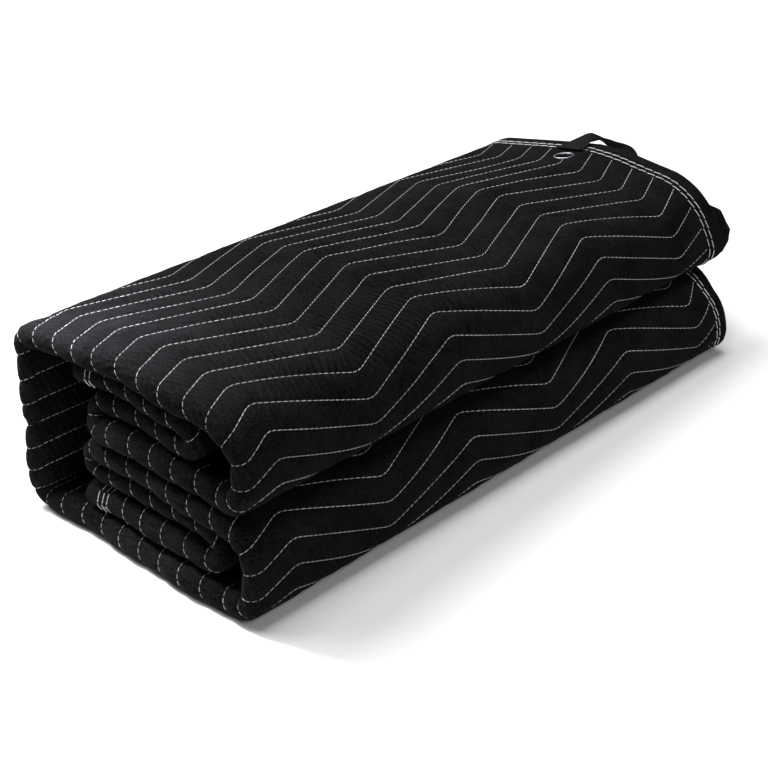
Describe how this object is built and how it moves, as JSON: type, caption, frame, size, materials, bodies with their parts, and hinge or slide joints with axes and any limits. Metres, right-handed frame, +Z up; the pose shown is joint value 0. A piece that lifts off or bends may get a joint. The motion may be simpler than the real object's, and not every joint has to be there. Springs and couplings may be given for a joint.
{
  "type": "folded sound dampening blanket",
  "caption": "Quilted sound dampening blanket folded for storage, with a hemmed edge, a metal eyelet and a webbing loop to hang it by.",
  "frame": {"origin": "centre of the folded bundle's bounding box, on the surface that it lies on", "axes": "+X along the bundle, towards the end with the hem, the eyelet and the loop; -Y towards its two round front folds; +Z up"},
  "size_m": [0.6287, 0.3067, 0.1768],
  "materials": {
    "quilted_cloth": "matt, napped, near-black",
    "eyelet_metal": "bright plated steel",
    "webbing": "woven, black"
  },
  "bodies": {
    "root": {"blanket": "quilted_cloth", "eyelet_strip": "quilted_cloth", "eyelet": "eyelet_metal", "hanging_loop": "webbing"}
  },
  "joints": []
}
